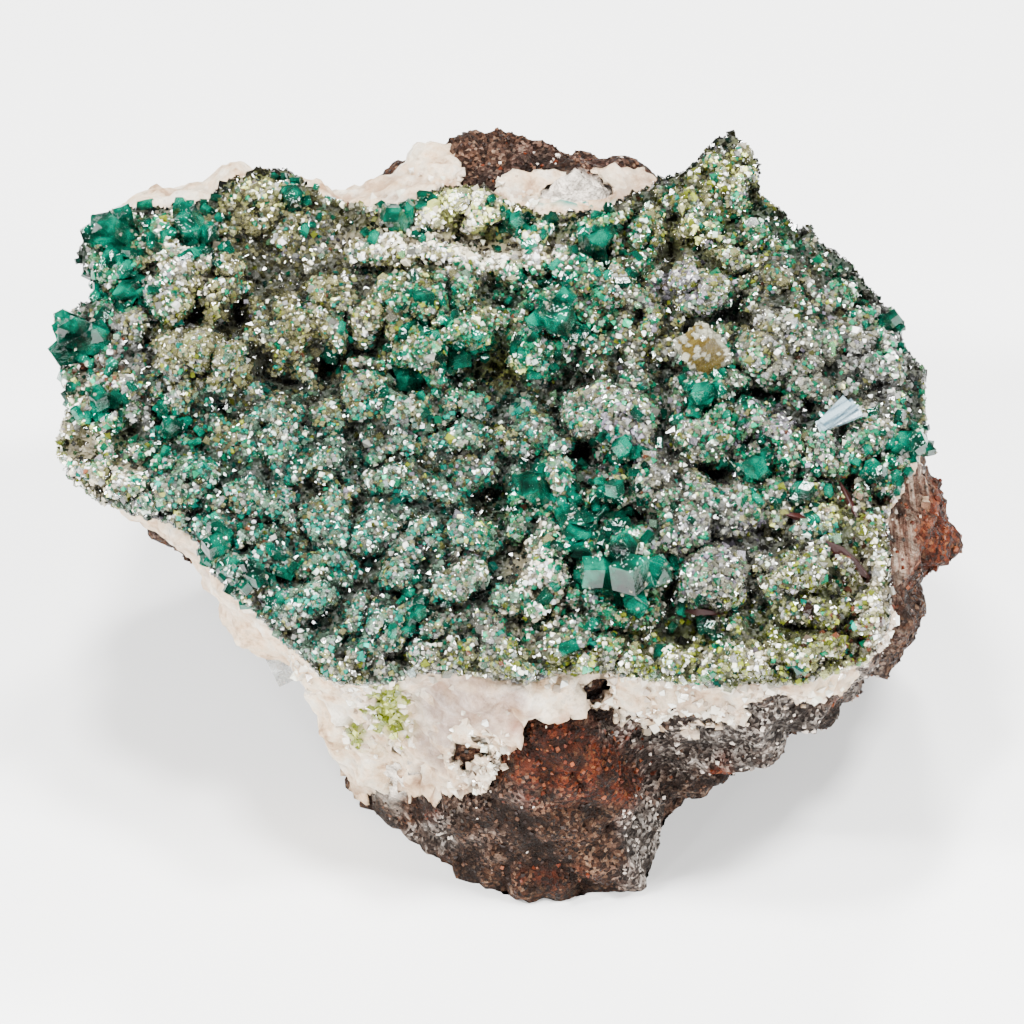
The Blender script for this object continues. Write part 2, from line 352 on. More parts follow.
class Nodes:
    """A material's node tree, with short calls for the nodes used here."""

    def __init__(self, name):
        self.material = bpy.data.materials.new(name)
        self.material.use_nodes = True
        self.tree = self.material.node_tree
        self.tree.nodes.clear()
        self.shader = self.tree.nodes.new("ShaderNodeBsdfPrincipled")
        out = self.tree.nodes.new("ShaderNodeOutputMaterial")
        self.tree.links.new(self.shader.outputs[0], out.inputs[0])
        self.where = self.tree.nodes.new("ShaderNodeTexCoord").outputs["Object"]

    def put(self, socket, value):
        """Links an output to a socket, or sets the socket to a colour or a number."""
        if isinstance(value, bpy.types.NodeSocket):
            self.tree.links.new(value, socket)
        elif isinstance(value, (tuple, list)) and len(value) == 3 and socket.type == "RGBA":
            socket.default_value = (*value, 1.0)
        else:
            socket.default_value = value

    def set(self, **values):
        """Sets the Principled shader's sockets, named with underscores for spaces."""
        for key, value in values.items():
            self.put(self.shader.inputs[key.replace("_", " ")], value)

    def texture(self, kind, where, **values):
        """The outputs of a texture node at these coordinates, with its sockets set by name."""
        node = self.tree.nodes.new(kind)
        self.put(node.inputs["Vector"], where)
        for key, value in values.items():
            node.inputs[key].default_value = value
        return node.outputs

    def noise(self, size, detail=4.0, roughness=0.55):
        """Noise with features of about this size, in millimetres."""
        scale = 1 / (size * MM)
        noisy = self.texture(
            "ShaderNodeTexNoise", self.where, Scale=scale, Detail=detail, Roughness=roughness
        )
        return noisy["Fac"]

    def cells(self, size):
        """The distance to the middle of the nearest cell of about this size, in millimetres."""
        return self.texture("ShaderNodeTexVoronoi", self.where, Scale=1 / (size * MM))["Distance"]

    def cell_shades(self, size):
        """A random value for each cell of about this size, in millimetres."""
        return self.texture("ShaderNodeTexVoronoi", self.where, Scale=1 / (size * MM))["Color"]

    def streaks(self, angle, along, across):
        """Noise drawn out along the face at an angle from its u axis, with sizes in millimetres."""
        turn = self.tree.nodes.new("ShaderNodeMapping")
        turn.vector_type = "TEXTURE"
        self.put(turn.inputs["Vector"], self.where)
        turn.inputs["Rotation"].default_value = (face_turn() @ Matrix.Rotation(angle, 3, "Z")).to_euler()
        turn.inputs["Scale"].default_value = Vector((along, across, across)) * MM
        streaked = self.texture(
            "ShaderNodeTexNoise", turn.outputs["Vector"], Scale=1.0, Detail=5.0, Roughness=0.65
        )
        return streaked["Fac"]

    def ramp(self, value, *stops):
        """A colour ramp from stops of position and colour or grey value."""
        node = self.tree.nodes.new("ShaderNodeValToRGB")
        self.put(node.inputs["Fac"], value)
        elements = node.color_ramp.elements
        while len(elements) < len(stops):
            elements.new(0.5)
        for element, (position, colour) in zip(elements, stops):
            element.position = position
            colour = colour if isinstance(colour, tuple) else (colour, colour, colour)
            element.color = (*colour, 1.0)
        return node.outputs["Color"]

    def mix(self, share, first, second, blend="MIX"):
        """Two colours mixed or, with another blend, combined."""
        node = self.tree.nodes.new("ShaderNodeMix")
        node.data_type = "RGBA"
        node.blend_type = blend
        self.put(node.inputs["Factor"], share)
        self.put(node.inputs[6], first)
        self.put(node.inputs[7], second)
        return node.outputs[2]

    def math(self, operation, first, second, clamp=False):
        """Two values combined by a math operation."""
        node = self.tree.nodes.new("ShaderNodeMath")
        node.operation = operation
        node.use_clamp = clamp
        self.put(node.inputs[0], first)
        self.put(node.inputs[1], second)
        return node.outputs[0]

    def attribute(self, name, output="Fac"):
        """A weight or colour that the mesh keeps by this name."""
        node = self.tree.nodes.new("ShaderNodeAttribute")
        node.attribute_name = name
        return node.outputs[output]

    def bump(self, height, distance):
        """Bump from a height, of that depth in millimetres."""
        node = self.tree.nodes.new("ShaderNodeBump")
        node.inputs["Strength"].default_value = 1.0
        node.inputs["Distance"].default_value = distance * MM
        self.put(node.inputs["Height"], height)
        self.put(self.shader.inputs["Normal"], node.outputs["Normal"])


def patch_weight(face_points, front, ragged, patches):
    """How strongly each point lies in any of the patches, from 0 to 1, with ragged edges."""
    total = np.zeros(len(face_points))
    for u, v, radius_u, radius_v, strength in patches:
        away = ((face_points[:, 0] - u) / radius_u) ** 2 + ((face_points[:, 1] - v) / radius_v) ** 2
        total += strength * np.exp(-PATCH_FALL * away**PATCH_SHARPNESS)
    return front * np.clip(total + RAG_SHARE * ragged * np.minimum(1, 3 * total), 0, 1)


def raggedness(face_points):
    """Noise in a coarse and a fine size, which makes the edges of patches ragged."""
    spots = (Vector(p) for p in face_points)
    return np.array(
        [noise.noise(p / COARSE_RAGS) + FINE_RAG_SHARE * noise.noise(p / FINE_RAGS) for p in spots]
    )


def front_share(normals):
    """1 where a surface faces out of the face, 0 where it looks away from it."""
    out = np.array(face_turn() @ Vector((0, 0, 1)))
    return np.clip(FRONT_SLOPE * (normals @ out) + FRONT_LEVEL, 0, 1)


def add_weight(obj, name, values):
    """Keeps a value for each point of a piece, for its material to read."""
    attribute = obj.data.attributes.new(name, "FLOAT", "POINT")
    attribute.data.foreach_set("value", np.asarray(values, np.float32))


def values_of(items, key, width, kind=np.float32):
    """The values of one property of many mesh items, as rows."""
    values = np.empty(width * len(items), kind)
    items.foreach_get(key, values)
    return values.reshape(-1, width)


def points_of(obj):
    """A piece's points in metres, as rows."""
    return values_of(obj.data.vertices, "co", 3).astype(float)


def normals_of(obj):
    """The normals at a piece's points, as rows."""
    return values_of(obj.data.vertices, "normal", 3).astype(float)


def rough_body(name, node, voxel, relief, patch_tables):
    """A fine, rough copy of a solid: remeshed evenly, then moved along its normals by relief().

    The patches are kept on it as weights by the names of their tables, and its hollows sink.
    """
    mesh = welded(node)
    data = bpy.data.meshes.new(name)
    mesh.to_mesh(data)
    mesh.free()
    obj = bpy.data.objects.new(name, data)
    bpy.context.scene.collection.objects.link(obj)
    remesh = obj.modifiers.new("Remesh", "REMESH")
    remesh.mode = "VOXEL"
    remesh.voxel_size = voxel * MM
    soften = obj.modifiers.new("Smooth", "SMOOTH")
    soften.factor = 0.5
    soften.iterations = 3
    graph = bpy.context.evaluated_depsgraph_get()
    obj.data = bpy.data.meshes.new_from_object(obj.evaluated_get(graph))
    obj.modifiers.clear()
    points, normals = points_of(obj), normals_of(obj)
    face_points = face_coordinates(points)
    front, ragged = front_share(normals), raggedness(face_points)
    weights = {
        key: patch_weight(face_points, front, ragged, table) for key, table in patch_tables.items()
    }
    moved = np.array([relief(Vector(p)) for p in face_points])
    if "hollow" in weights:
        moved -= HOLLOW_DEPTH * weights["hollow"]
    if "chalk" in weights:
        moved += CHALK_RISE * weights["chalk"]
    lifted = points + normals * (moved * MM)[:, None]
    # The base stays flat on the ground.
    lifted[:, 2] = np.where(points[:, 2] < BASE_BAND * MM, 0.0, np.maximum(lifted[:, 2], 0.0))
    obj.data.vertices.foreach_set("co", lifted.astype(np.float32).ravel())
    obj.data.update()
    obj.data.shade_smooth()
    for key, values in weights.items():
        add_weight(obj, key, values)
    add_weight(obj, "crevice", np.clip((np.median(moved) - moved) / CREVICE_DEPTH, 0, 1))
    return obj


def bends(spot, waves):
    """How far noise moves a spot, summed over waves of a distance and a size."""
    return sum((distance * noise.noise_vector(spot / size) for distance, size in waves), Vector())


def ridges(spot, waves):
    """Sharp-edged relief, summed over waves of a height and a size."""
    return sum(height * abs(noise.noise(spot / size)) for height, size in waves)


def rock_relief(p):
    """Broken, grainy rock: ledges, splintered steps and grit."""
    bent = p + bends(p, ROCK_BENDS)
    splinter_height, (across, along, deep) = ROCK_SPLINTERS
    drawn = Vector((bent.x / across, bent.y / along, bent.z / deep))
    splinters = splinter_height * abs(noise.noise(drawn))
    pit_depth, pit_size = ROCK_PITS
    pits = pit_depth * noise.voronoi(bent / pit_size)[0][0]
    grain_height, grain_size = ROCK_GRAIN
    grain = grain_height * noise.noise(p / grain_size)
    return ridges(bent, ROCK_LEDGES) + splinters - pits + grain - ROCK_LEVEL


def vein_relief(p):
    """Massive calcite with cleaved steps and fine grains."""
    bent = p + bends(p, VEIN_BENDS)
    near, next_near = noise.voronoi(bent / VEIN_NUGGET_SIZE)[0][:2]
    nuggets = NUGGET_RISE * min(next_near - near, NUGGET_EDGE) - NUGGET_DOME * near
    grain_height, grain_size = VEIN_GRAIN
    grain = grain_height * noise.noise(p / grain_size)
    return ridges(bent, VEIN_STEPS) + nuggets + grain - VEIN_LEVEL


def rock_material():
    """Brown rock in small bits, with rust, grey, layered and chalky patches."""
    m = Nodes("host_rock")
    bits, crumbs = m.cell_shades(0.34), m.cells(0.34)
    brown = m.ramp(
        bits, (0.2, (0.005, 0.002, 0.001)), (0.45, (0.026, 0.010, 0.005)),
        (0.7, (0.080, 0.036, 0.020)), (0.95, (0.22, 0.135, 0.085)),
    )
    rust = m.ramp(
        bits, (0.2, (0.016, 0.003, 0.001)), (0.45, (0.080, 0.012, 0.003)),
        (0.7, (0.14, 0.026, 0.009)), (0.92, (0.21, 0.075, 0.028)),
    )
    grey = m.ramp(
        bits, (0.2, (0.012, 0.0095, 0.008)), (0.42, (0.060, 0.048, 0.041)),
        (0.6, (0.26, 0.22, 0.19)), (0.85, (0.60, 0.54, 0.48)),
    )
    edge = m.ramp(m.noise(2.4, 5.0, 0.6), (0.35, 0.0), (0.6, 1.0))
    rust_here = m.math("MULTIPLY", m.attribute("rust"), m.math("ADD", edge, 0.45), True)
    grey_here = m.math("MULTIPLY", m.attribute("grey"), m.math("ADD", edge, 0.4), True)
    colour = m.mix(grey_here, brown, grey)
    colour = m.mix(rust_here, colour, rust)
    layered = m.ramp(
        m.streaks(EDGE_LAYERS_LEAN, 7.0, 0.55),
        (0.36, (0.035, 0.013, 0.009)), (0.46, (0.13, 0.065, 0.045)),
        (0.55, (0.27, 0.18, 0.13)), (0.64, (0.42, 0.33, 0.26)),
    )
    colour = m.mix(m.attribute("layers"), colour, layered)
    colour = m.mix(m.attribute("chalk"), colour, (0.86, 0.76, 0.64))
    bands = m.ramp(m.streaks(ROCK_LAYERS_LEAN, 6.0, 0.9), (0.38, 0.7), (0.55, 0.0))
    colour = m.mix(bands, colour, (0.008, 0.0035, 0.002))
    pale = m.ramp(m.noise(3.2, 6.0, 0.7), (0.62, 0.0), (0.72, 0.4))
    colour = m.mix(pale, colour, (0.15, 0.10, 0.075))
    colour = m.mix(m.math("MULTIPLY", m.attribute("crevice"), 0.8), colour, (0.006, 0.003, 0.002))
    shadow = m.ramp(m.noise(5.0, 5.0, 0.65), (0.38, 0.8), (0.56, 0.0))
    colour = m.mix(shadow, colour, (0.006, 0.0035, 0.0025))
    m.set(Base_Color=colour, Roughness=m.ramp(bits, (0.3, 0.45), (0.7, 0.9)), Specular_IOR_Level=0.1)
    m.bump(m.math("ADD", m.noise(0.5, 6.0, 0.7), crumbs), 0.45)
    return m.material


def vein_material():
    """White calcite with rosy, yellow-green, teal and stained patches."""
    m = Nodes("white_calcite")
    cloud = m.noise(3.0, 8.0, 0.68)
    white = m.ramp(
        cloud, (0.36, (0.44, 0.27, 0.15)), (0.46, (0.86, 0.66, 0.45)), (0.58, (0.98, 0.89, 0.73))
    )
    rosy = m.ramp(m.noise(1.1, 6.0, 0.7), (0.35, (0.28, 0.19, 0.15)), (0.65, (0.62, 0.49, 0.42)))
    rose = m.mix(m.attribute("rose"), white, rosy)
    stain = m.ramp(m.noise(1.5, 7.0, 0.7), (0.56, 0.0), (0.70, 0.7))
    colour = m.mix(stain, rose, (0.32, 0.18, 0.10))
    colour = m.mix(m.math("MULTIPLY", m.attribute("crevice"), 0.85), colour, (0.34, 0.21, 0.13))
    colour = m.mix(1.0, colour, m.ramp(m.cell_shades(0.7), (0.3, 0.86), (0.7, 1.0)), "MULTIPLY")
    warmth = m.ramp(m.noise(4.5, 6.0, 0.7), (0.42, (0.88, 0.79, 0.68)), (0.58, (1.0, 1.0, 1.0)))
    colour = m.mix(1.0, colour, warmth, "MULTIPLY")
    colour = m.mix(m.attribute("teal"), colour, (0.002, 0.20, 0.15))
    colour = m.mix(m.attribute("yellow"), colour, (0.20, 0.23, 0.012))
    colour = m.mix(m.attribute("hollow"), colour, (0.07, 0.035, 0.018))
    colour = m.mix(m.math("MULTIPLY", m.attribute("rust"), 0.7), colour, (0.30, 0.11, 0.05))
    m.set(Base_Color=colour, Roughness=m.ramp(m.noise(0.8), (0.3, 0.35), (0.7, 0.7)))
    m.bump(m.math("ADD", m.noise(0.6, 7.0, 0.75), m.cell_shades(0.7)), 0.6)
    return m.material


def ground_material():
    """The dark ground between the grains of the druse."""
    m = Nodes("druse_ground")
    tint = m.attribute("tint", "Color")
    colour = m.mix(m.ramp(m.noise(0.8, 5.0, 0.7), (0.3, 0.75), (0.7, 0.0)), tint, (0.004, 0.006, 0.004))
    m.set(
        Base_Color=colour, Roughness=m.ramp(m.noise(0.5), (0.3, 0.3), (0.7, 0.7)),
        Specular_IOR_Level=0.25,
    )
    m.bump(m.cells(0.45), 0.25)
    return m.material


def grain_material(name, transmission, roughness, ior, haze, sheen=0.5):
    """Small crystals or crumbs with a colour of their own, some with a pale veil."""
    m = Nodes(name)
    tint = m.attribute("tint", "Color")
    veil = m.ramp(m.noise(0.35, 3.0, 0.6), (0.55, 0.0), (0.8, haze))
    m.set(
        Base_Color=m.mix(veil, tint, (0.80, 0.81, 0.77)),
        Roughness=m.ramp(m.noise(0.3), (0.45, roughness), (0.8, roughness + 0.15)),
        Transmission_Weight=transmission, IOR=ior, Specular_IOR_Level=sheen,
    )
    m.bump(m.noise(0.25, 3.0), 0.015)
    return m.material


def dioptase_material():
    """Glassy emerald green, darker and lighter in clouds."""
    m = Nodes("dioptase")
    depth = m.noise(2.6, 6.0, 0.55)
    green = m.ramp(
        depth, (0.36, (0.0, 0.010, 0.006)), (0.5, (0.0, 0.060, 0.034)), (0.66, (0.0, 0.27, 0.165))
    )
    m.set(
        Base_Color=green,
        Roughness=m.ramp(m.noise(0.6, 5.0), (0.45, 0.02), (0.75, 0.07)),
        Transmission_Weight=0.62, IOR=1.6, Specular_IOR_Level=0.25,
    )
    m.bump(m.noise(0.9, 4.0, 0.55), 0.11)
    return m.material


def stone_material(name, low, high, transmission, ior):
    """A translucent crystal material, streaked between two colours along the blade's length."""
    m = Nodes(name)
    m.set(
        Base_Color=m.ramp(m.streaks(BLADE_LEAN, 5.0, 0.5), (0.4, low), (0.6, high)),
        Roughness=m.ramp(m.noise(0.4), (0.35, 0.12), (0.7, 0.4)),
        Transmission_Weight=transmission, IOR=ior,
    )
    m.bump(m.noise(0.4, 5.0), 0.05)
    return m.material


def cluster_height(u, v):
    """Rounded clusters of grains over the crust, in two sizes."""
    spot = Vector((u, v, 0))
    spot += bends(spot, CLUSTER_BENDS)
    much = CLUSTER_MEAN + CLUSTER_SWING * noise.noise(spot / SWING_SIZE)
    near, next_near = noise.voronoi(spot / CLUSTER_SIZE + CLUSTER_SLICE)[0][:2]
    groove = GROOVE_DEPTH * max(0.0, 1 - (next_near - near) / GROOVE_WIDTH)
    coarse = CLUSTER_RISE * (1 - (near / CELL_RADIUS) ** 2 - groove)
    near = noise.voronoi(spot / KNOT_SIZE + KNOT_SLICE)[0][0]
    fine = KNOT_RISE * (1 - (near / CELL_RADIUS) ** 2)
    gaps = GAP_DEPTH * max(0.0, noise.noise(spot / GAP_SIZE) - GAP_START)
    return much * coarse + fine - CLUSTER_LEVEL - gaps + SWELL * noise.noise(spot / SWELL_SIZE)


def form_height(u, v):
    """The named lumps and hollows at arrays of points, as one height each."""
    height = np.zeros(np.broadcast(u, v).shape)
    for form_u, form_v, radius_u, radius_v, rise in FORMS:
        away = ((u - form_u) / radius_u) ** 2 + ((v - form_v) / radius_v) ** 2
        shape = np.exp(-FORM_FALL * away**FORM_SHARPNESS)
        height += (LUMP_RISE if rise > 0 else 1) * rise * shape
    return height


def blurred(values, inside, steps):
    """A height map smoothed over its inside by repeated averaging with its neighbours."""
    total = np.where(inside, values, 0.0)
    weight = inside.astype(float)
    for _ in range(steps):
        for axis in (0, 1):
            total = total + np.roll(total, 1, axis) + np.roll(total, -1, axis)
            weight = weight + np.roll(weight, 1, axis) + np.roll(weight, -1, axis)
        peak = weight.max()
        total, weight = total / peak, weight / peak
    return total / np.maximum(weight, 1e-9)


def zone_weights(u, v):
    """The weight of each kind of growth at points of the face, as rows that sum to one."""
    kinds = list(KINDS)
    weights = np.array([np.full(len(u), ZONE_FLOOR[kind]) for kind in kinds])
    for zone_u, zone_v, radius_u, radius_v, strength, kind in ZONES:
        away = ((u - zone_u) / radius_u) ** 2 + ((v - zone_v) / radius_v) ** 2
        weights[kinds.index(kind)] += ZONE_STRENGTH * strength * np.exp(-ZONE_FALL * away)
    for k, row in enumerate(weights):
        spots = (Vector((x / PATCH_SIZE, y / PATCH_SIZE, KIND_GAP * k)) for x, y in zip(u, v))
        row *= [math.exp(PATCHINESS * noise.noise(spot)) for spot in spots]
    return (weights / weights.sum(axis=0)).T


def crust_grid():
    """Depth of the druse's ground over the face, from the solid crust with clusters on it."""
    mesh = welded("crystal_crust")
    solid = BVHTree.FromBMesh(mesh)
    mesh.free()
    us = np.arange(FACE_LOW[0], FACE_HIGH[0], CRUST_STEP)
    vs = np.arange(FACE_LOW[1], FACE_HIGH[1], CRUST_STEP)
    depth = np.full((len(us), len(vs)), np.nan)
    inward = -(face_turn() @ Vector((0, 0, 1)))
    for i, u in enumerate(us):
        for j, v in enumerate(vs):
            hit = solid.ray_cast(at(u, v, ABOVE), inward)[0]
            if hit is not None:
                depth[i, j] = face_coordinates(hit)[0][2]
    inside = ~np.isnan(depth)
    near_edge = inside.astype(float)
    for _ in range(EDGE_STEPS):
        padded = np.pad(near_edge, 1)
        near_edge = inside * (
            padded[2:, 1:-1] + padded[:-2, 1:-1] + padded[1:-1, 2:] + padded[1:-1, :-2] + near_edge
        ) / 5
    relief = np.zeros(depth.shape)
    warp = np.zeros((*depth.shape, 2))
    for i, u in enumerate(us):
        for j, v in enumerate(vs):
            if inside[i, j]:
                relief[i, j] = cluster_height(u, v)
                warp[i, j] = bends(Vector((u, v, FORM_SLICE)), FORM_BENDS).xy
    relief += form_height(us[:, None] + warp[:, :, 0], vs[None, :] + warp[:, :, 1])
    relief = np.where(relief < 0, DEEPEST * np.tanh(relief / DEEPEST), relief)
    depth = depth + relief * near_edge**2
    # Points that stand out of their surroundings are near 1 and points deep between them near 0.
    near_stand = depth - blurred(depth, inside, NEAR_BLUR)
    far_stand = depth - blurred(depth, inside, FAR_BLUR)
    stand = near_stand + FAR_STAND_SHARE * far_stand
    shade = np.clip(LEVEL_SHADE + stand, 0.0, 1.0)
    return us, vs, depth, inside, shade


def crust_ground():
    """The ground that the grains grow on, with a skirt that closes it down to the vein."""
    us, vs, depth, inside, shade = crust_grid()
    index = np.full(depth.shape, -1)
    index[inside] = np.arange(inside.sum())
    rows, columns = np.nonzero(inside)
    points = np.stack([us[rows], vs[columns], depth[inside]], axis=1)
    a, b = index[:-1, :-1], index[1:, :-1]
    c, d = index[1:, 1:], index[:-1, 1:]
    whole = (a >= 0) & (b >= 0) & (c >= 0) & (d >= 0)
    a, b, c, d = a[whole], b[whole], c[whole], d[whole]
    triangles = np.concatenate([np.stack([a, b, c], axis=1), np.stack([a, c, d], axis=1)])
    # Edges used once are the rim, and each gets two triangles down to a copy of its ends.
    edges = np.concatenate([triangles[:, [0, 1]], triangles[:, [1, 2]], triangles[:, [2, 0]]])
    keys = np.sort(edges, axis=1)
    _, first, counts = np.unique(keys, axis=0, return_index=True, return_counts=True)
    rim = edges[first[counts == 1]]
    lower = np.arange(len(points)) + len(points)
    skirt = np.concatenate(
        [
            np.stack([rim[:, 1], rim[:, 0], lower[rim[:, 0]]], axis=1),
            np.stack([rim[:, 1], lower[rim[:, 0]], lower[rim[:, 1]]], axis=1),
        ]
    )
    used = np.unique(rim)
    sunk = points[used] - (0, 0, CRUST_SKIRT)
    renumber = np.full(2 * len(points), -1)
    renumber[: len(points)] = np.arange(len(points))
    renumber[lower[used]] = len(points) + np.arange(len(used))
    all_points = np.concatenate([points, sunk])
    triangles = np.concatenate([triangles, renumber[skirt]])
    weights = zone_weights(all_points[:, 0], all_points[:, 1])
    tints = weights @ np.array([KINDS[kind][0] for kind in KINDS])
    ground = build_mesh("druse_ground", place(all_points), triangles, tints, smooth=True)
    return ground, triangles, np.concatenate([shade[inside], shade[inside][used]])


def hull_of(corners):
    """The closed convex body around some corners, as rows of points and triangles."""
    mesh = bmesh.new()
    for corner in corners:
        mesh.verts.new(corner)
    hull = bmesh.ops.convex_hull(mesh, input=mesh.verts)
    bmesh.ops.delete(mesh, geom=hull["geom_interior"], context="VERTS")
    bmesh.ops.triangulate(mesh, faces=mesh.faces)
    bmesh.ops.recalc_face_normals(mesh, faces=mesh.faces)
    mesh.verts.index_update()
    points = np.array([v.co for v in mesh.verts])
    triangles = np.array([[v.index for v in f.verts] for f in mesh.faces])
    mesh.free()
    return points, triangles


def grain_shapes(draw):
    """Small irregular crystals of unit size: some with eight faces and points, some like blocks."""
    shapes = []
    for number, form, reach, jitter in GRAIN_FORMS:
        for _ in range(number):
            corners = [Vector(c) * reach + Vector(draw.uniform(-jitter, jitter, 3)) for c in form]
            shapes.append(hull_of(corners))
    return shapes


def turns(draw, normals, lean):
    """A random rotation for each normal that keeps its Z axis near it, as an array of matrices."""
    z = normals + lean * draw.normal(size=normals.shape)
    z /= np.linalg.norm(z, axis=1, keepdims=True)
    side = draw.normal(size=normals.shape)
    x = side - (side * z).sum(axis=1, keepdims=True) * z
    x /= np.linalg.norm(x, axis=1, keepdims=True)
    return np.stack([x, np.cross(z, x), z], axis=2)


def scattered(draw, points, triangles, density, count, spacing):
    """Spread points over a surface, no two nearer than their spacing.

    Returns their places, normals, sizes and the density around them.
    """
    corners = points[triangles]
    cross = np.cross(corners[:, 1] - corners[:, 0], corners[:, 2] - corners[:, 0])
    area = np.linalg.norm(cross, axis=1)
    tries = 3 * count
    local = density[triangles].mean(axis=1)
    odds = area * local
    chosen = draw.choice(len(triangles), tries, p=odds / odds.sum())
    r1, r2 = np.sqrt(draw.random(tries)), draw.random(tries)
    blend = np.stack([1 - r1, r1 * (1 - r2), r1 * r2], axis=1)
    spots = (corners[chosen] * blend[:, :, None]).sum(axis=1)
    normals = cross[chosen] / area[chosen][:, None]
    sizes = spacing(tries)
    taken = {}
    kept = []
    for k in range(tries):
        key = tuple((spots[k] // SEARCH_CELL).astype(int))
        reach = CLOSEST * sizes[k]
        near = (
            other
            for dx in (-1, 0, 1) for dy in (-1, 0, 1) for dz in (-1, 0, 1)
            for other in taken.get((key[0] + dx, key[1] + dy, key[2] + dz), ())
        )
        if all(((spots[k] - spots[o]) ** 2).sum() > reach**2 for o in near):
            taken.setdefault(key, []).append(k)
            kept.append(k)
            if len(kept) == count:
                break
    return spots[kept], normals[kept], sizes[kept], local[chosen][kept]


def joined_grains(name, draw, shapes, spots, normals, sizes, tints, lean=GRAIN_LEAN):
    """One mesh of many grains, each a turned and sized copy of a shape."""
    matrices = turns(draw, normals, lean) * sizes[:, None, None]
    which = draw.integers(0, len(shapes), len(spots))
    all_points, all_triangles, all_tints = [], [], []
    start = 0
    for s, (points, triangles) in enumerate(shapes):
        mine = np.nonzero(which == s)[0]
        placed = np.einsum("kij,pj->kpi", matrices[mine], points) + spots[mine][:, None, :]
        all_points.append(placed.reshape(-1, 3))
        offsets = start + np.arange(len(mine))[:, None, None] * len(points)
        all_triangles.append((triangles[None] + offsets).reshape(-1, 3))
        all_tints.append(np.repeat(tints[mine], len(points), axis=0))
        start += len(mine) * len(points)
    return build_mesh(
        name,
        place(np.concatenate(all_points)),
        np.concatenate(all_triangles),
        np.concatenate(all_tints),
    )


def druse(draw, green):
    """The ground and the grains of the druse, and the small green crystals among them."""
    ground, triangles, shades = crust_ground()
    wear(ground, ground_material(), "crystal_crust", "crystal_crust")
    points = face_coordinates(points_of(ground))

    def sizes(count):
        base = draw.uniform(*GRAIN_SIZES, count)
        big = draw.random(count) < BIG_GRAIN_SHARE
        return np.where(big, base * BIG_GRAIN_GROWTH, base)

    count = GRAIN_COUNT
    cover = THINNEST + (1 - THINNEST) * shades
    spots, normals, size, shade = scattered(draw, points, triangles, cover, count, sizes)
    shade = (shade - THINNEST) / (1 - THINNEST)
    weights = zone_weights(spots[:, 0], spots[:, 1])
    kinds = list(KINDS)
    pick = (weights.cumsum(axis=1) > draw.random(len(spots))[:, None]).argmax(axis=1)
    shares = np.array([KINDS[kind][3] for kind in kinds])[pick]
    clear = draw.random(len(spots)) < shares
    tints = np.array([KINDS[kind][1] for kind in kinds])[pick]
    glass = np.array([KINDS[kind][2] for kind in kinds])[pick]
    tints = np.where(clear[:, None], glass, tints)
    brightness = np.exp(BRIGHTNESS_SPREAD * draw.normal(size=len(spots)))
    brightness *= DEEP_BRIGHTNESS + OPEN_BRIGHTNESS * shade**OPEN_POWER
    tints = np.minimum(tints * brightness[:, None], PALEST)
    white = draw.random(len(spots)) < WHITE_SHARE * (DEEP_WHITE + OPEN_WHITE * shade)
    white &= ~clear & (size < GRAIN_SIZES[1])
    tints = np.where(white[:, None], WHITE_BASE + WHITE_TINT * glass, tints)
    shapes = grain_shapes(draw)
    spots = spots + normals * (GRAIN_LIFT * size)[:, None]
    looks = (
        ("clear_grains", clear, grain_material("clear_grains", 0.85, 0.02, 1.62, 0.10)),
        ("coloured_grains", ~clear, grain_material("coloured_grains", 0.25, 0.05, 1.66, 0.05, 0.3)),
    )
    for name, mine, look in looks:
        # A piece is kept to a number of grains that its mesh can hold.
        mine = np.nonzero(mine)[0]
        for k, part in enumerate(np.array_split(mine, math.ceil(len(mine) / GRAINS_A_PIECE))):
            piece = joined_grains(
                f"{name}_{k + 1}", draw, shapes, spots[part], normals[part], size[part], tints[part]
            )
            wear(piece, look, "crystal_crust")
    small_dioptase(draw, spots, normals, green)


def prism_shapes(draw, count=6):
    """Six-sided prisms with blunt three-faced ends, of unit width."""
    shapes = []
    for _ in range(count):
        half = draw.uniform(*PRISM_HALVES)
        corners = [Vector((0, 0, half + PRISM_TIP))]
        for k in range(6):
            way = Vector((math.cos(TAU * k / 6), math.sin(TAU * k / 6), 0)) * 0.5
            corners.append(way + Vector((0, 0, half + PRISM_EDGES[k % 2])))
            corners.append(way - Vector((0, 0, half)))
        shapes.append(hull_of(corners))
    return shapes


def small_dioptase(draw, spots, normals, look):
    """Small green crystals that surround each clump, grown on the druse."""
    chosen, sizes = [], []
    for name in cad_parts:
        if not name.startswith("dioptase"):
            continue
        low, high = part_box(name)
        middle = face_coordinates((low + high) / 2)[0]
        reach = 0.5 * (high - low).x / MM
        away = np.linalg.norm(spots[:, :2] - middle[:2], axis=1)
        width = RING_WIDTH[1] * reach + RING_WIDTH[0]
        odds = np.exp(-(((away - RING_RADIUS * reach) / width) ** 2))
        near = np.nonzero(odds > LEAST_ODDS)[0]
        number = min(len(near), int(SMALL_COUNT[0] + SMALL_COUNT[1] * reach))
        picked = draw.choice(near, number, replace=False, p=odds[near] / odds[near].sum())
        chosen.append(picked)
        sizes.append(draw.uniform(SMALLEST, SMALL_SIZE[0] + SMALL_SIZE[1] * reach, number))
    chosen, sizes = np.concatenate(chosen), np.concatenate(sizes)
    tints = np.ones((len(chosen), 3))
    lifted = spots[chosen] + normals[chosen] * (SMALL_LIFT * sizes)[:, None]
    shapes = prism_shapes(draw)
    piece = joined_grains(
        "small_dioptase", draw, shapes, lifted, normals[chosen], sizes, tints, LOOSE_LEAN
    )
    wear(piece, look, "dioptase")


